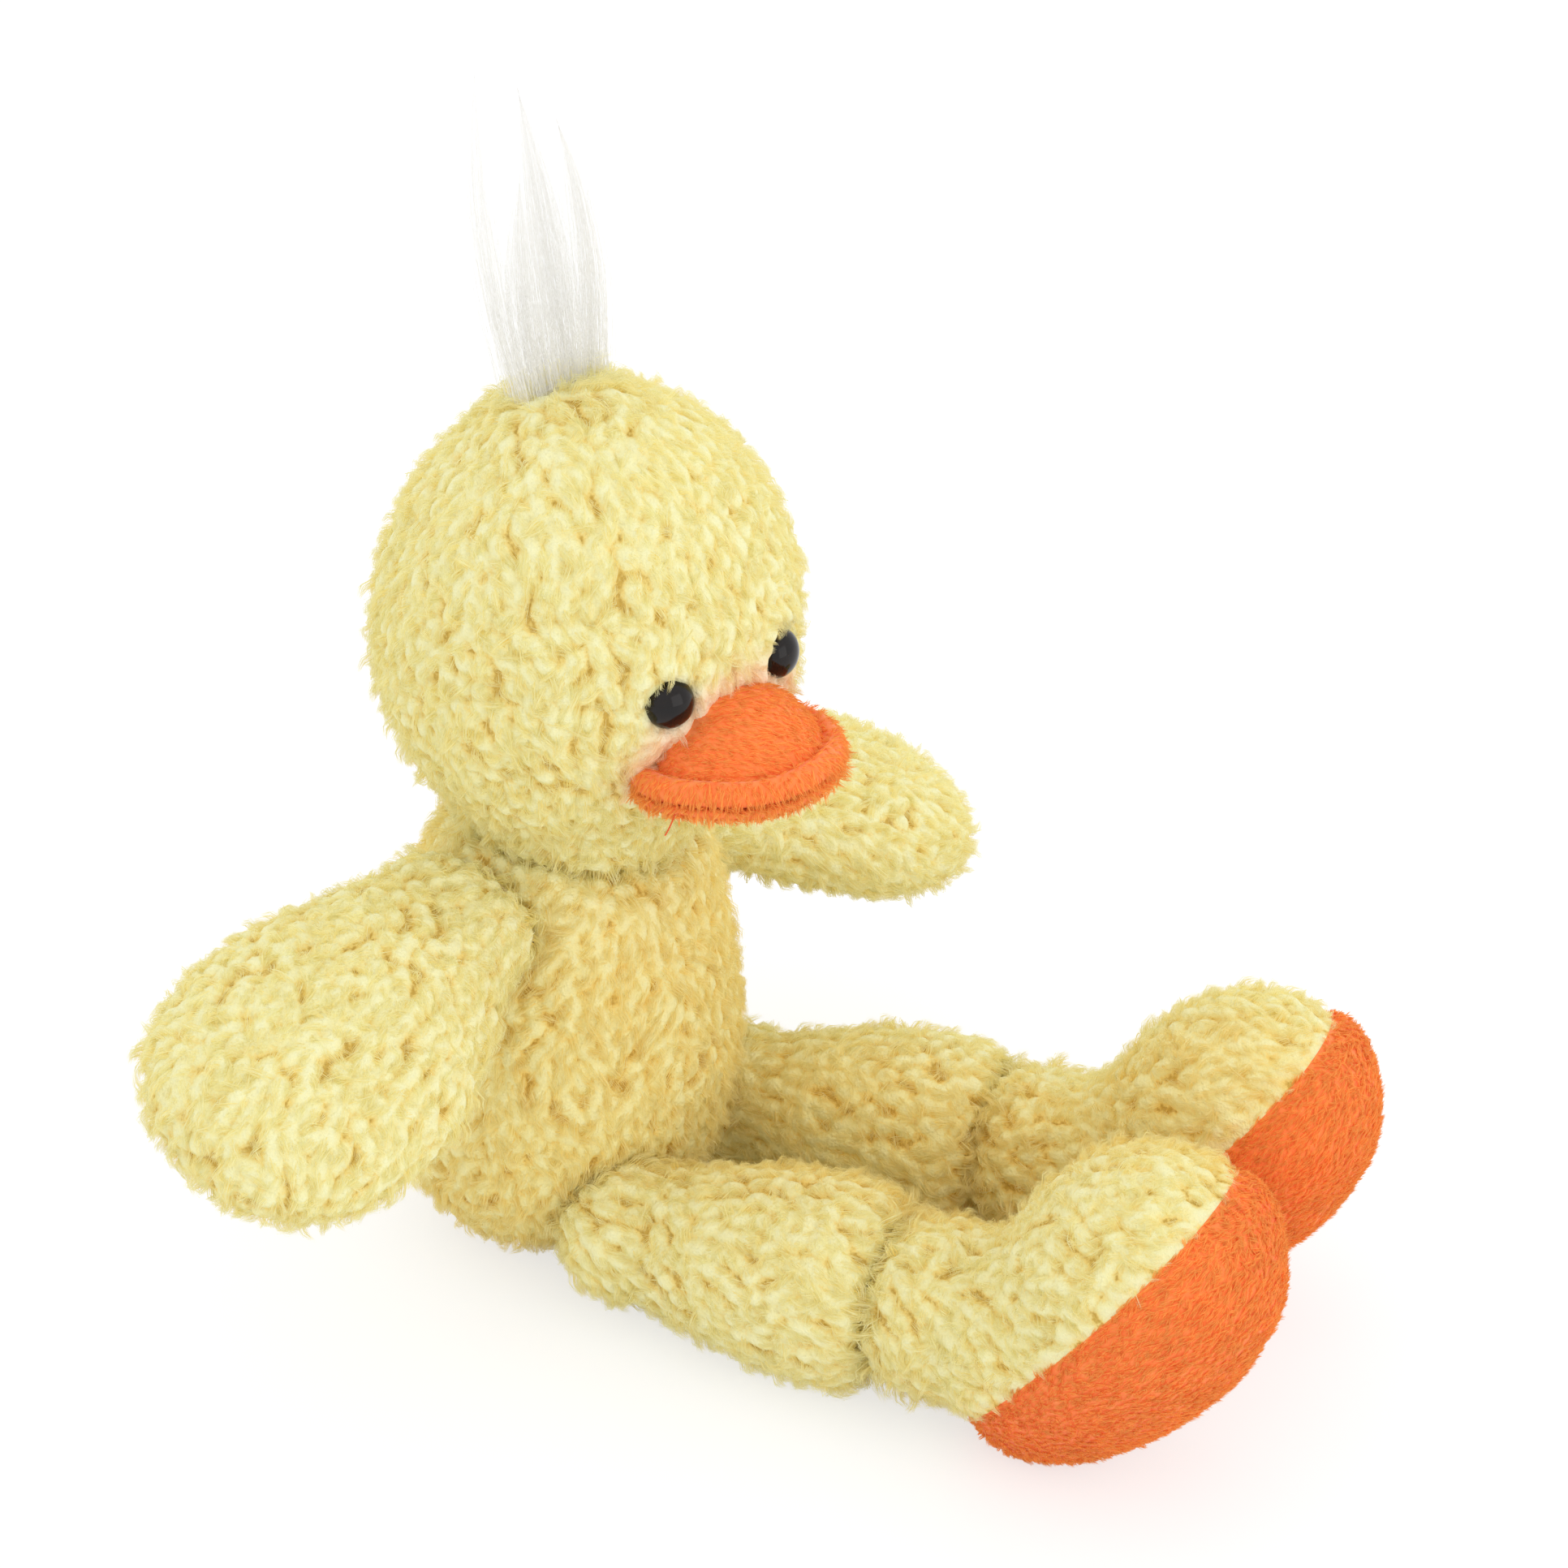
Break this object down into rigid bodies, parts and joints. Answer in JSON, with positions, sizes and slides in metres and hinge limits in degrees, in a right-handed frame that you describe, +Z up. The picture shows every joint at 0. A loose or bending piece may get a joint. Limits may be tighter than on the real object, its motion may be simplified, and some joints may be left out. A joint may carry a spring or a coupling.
{
  "type": "plush chick",
  "caption": "Seated plush chick in curly pile fabric with spread wings, a broad stuffed bill, safety eyes, a long hair crest and short-nap soles; head, wings, legs and feet bend at their seams.",
  "frame": {"origin": "middle of the seat, on the surface the toy sits on", "axes": "+Z up, -Y the way the chest and feet face, +X to the toy's own left"},
  "size_m": [0.2809, 0.249, 0.3025],
  "materials": {
    "curly_pile": "curly pile",
    "short_nap": "short brushed nap",
    "long_hair": "long straight hair",
    "eye_plastic": "polished",
    "washer_plastic": "moulded",
    "fibre_fill": "loose fibre",
    "sewing_thread": "twisted thread"
  },
  "bodies": {
    "torso": {"torso_cover": "curly_pile", "torso_stuffing": "fibre_fill", "shoulder_left_thread": "sewing_thread", "hip_left_thread": "sewing_thread", "shoulder_right_thread": "sewing_thread", "hip_right_thread": "sewing_thread"},
    "neck": {"neck_thread": "sewing_thread"},
    "head": {"head_cover": "curly_pile", "head_stuffing": "fibre_fill", "eye_left": "eye_plastic", "eye_washer_left": "washer_plastic", "eye_right": "eye_plastic", "eye_washer_right": "washer_plastic", "bill_upper": "short_nap", "bill_stuffing": "fibre_fill", "bill_lower": "short_nap", "crest_locks": "long_hair", "crest_tab": "long_hair"},
    "wing_left": {"wing_left_cover": "curly_pile", "wing_left_stuffing": "fibre_fill"},
    "leg_left": {"leg_left_cover": "curly_pile", "leg_left_stuffing": "fibre_fill", "ankle_left_thread": "sewing_thread"},
    "foot_left": {"foot_left_upper": "curly_pile", "foot_left_sole": "short_nap", "foot_left_stuffing": "fibre_fill"},
    "wing_right": {"wing_right_cover": "curly_pile", "wing_right_stuffing": "fibre_fill"},
    "leg_right": {"leg_right_cover": "curly_pile", "leg_right_stuffing": "fibre_fill", "ankle_right_thread": "sewing_thread"},
    "foot_right": {"foot_right_upper": "curly_pile", "foot_right_sole": "short_nap", "foot_right_stuffing": "fibre_fill"}
  },
  "joints": [
    {"name": "neck_turn", "type": "hinge", "parent": "torso", "child": "neck", "pos_m": [0, -0.003, 0.136], "axis": [0, 0, 1], "range_deg": [-35, 35], "stiffness_Nm_per_rad": 0.3},
    {"name": "neck_nod", "type": "hinge", "parent": "neck", "child": "head", "pos_m": [0, -0.003, 0.136], "axis": [0.9336, -0.3584, 0], "range_deg": [-10, 14], "stiffness_Nm_per_rad": 0.5},
    {"name": "wing_left_lift", "type": "hinge", "parent": "torso", "child": "wing_left", "pos_m": [0.04567, -0.00705, 0.094], "axis": [-0.4851, -0.8591, -0.1632], "range_deg": [-4, 50], "stiffness_Nm_per_rad": 0.3},
    {"name": "wing_right_lift", "type": "hinge", "parent": "torso", "child": "wing_right", "pos_m": [-0.04173, 0.00843, 0.105], "axis": [0.0662, 0.9396, 0.3357], "range_deg": [-16, 45], "stiffness_Nm_per_rad": 0.3},
    {"name": "hip_left", "type": "hinge", "parent": "torso", "child": "leg_left", "pos_m": [0.0322, -0.0348, 0.022], "axis": [-0.9994, -0.0349, 0], "range_deg": [-40, 16], "stiffness_Nm_per_rad": 0.4},
    {"name": "ankle_left", "type": "hinge", "parent": "leg_left", "child": "foot_left", "pos_m": [0.03506, -0.11654, 0.02784], "axis": [-0.9994, -0.0349, 0], "range_deg": [-20, 20], "stiffness_Nm_per_rad": 0.4},
    {"name": "hip_right", "type": "hinge", "parent": "torso", "child": "leg_right", "pos_m": [-0.0322, -0.0348, 0.022], "axis": [-0.9994, 0.0349, 0], "range_deg": [-40, 16], "stiffness_Nm_per_rad": 0.4},
    {"name": "ankle_right", "type": "hinge", "parent": "leg_right", "child": "foot_right", "pos_m": [-0.03506, -0.11654, 0.02784], "axis": [-0.9994, 0.0349, 0], "range_deg": [-20, 20], "stiffness_Nm_per_rad": 0.4}
  ]
}
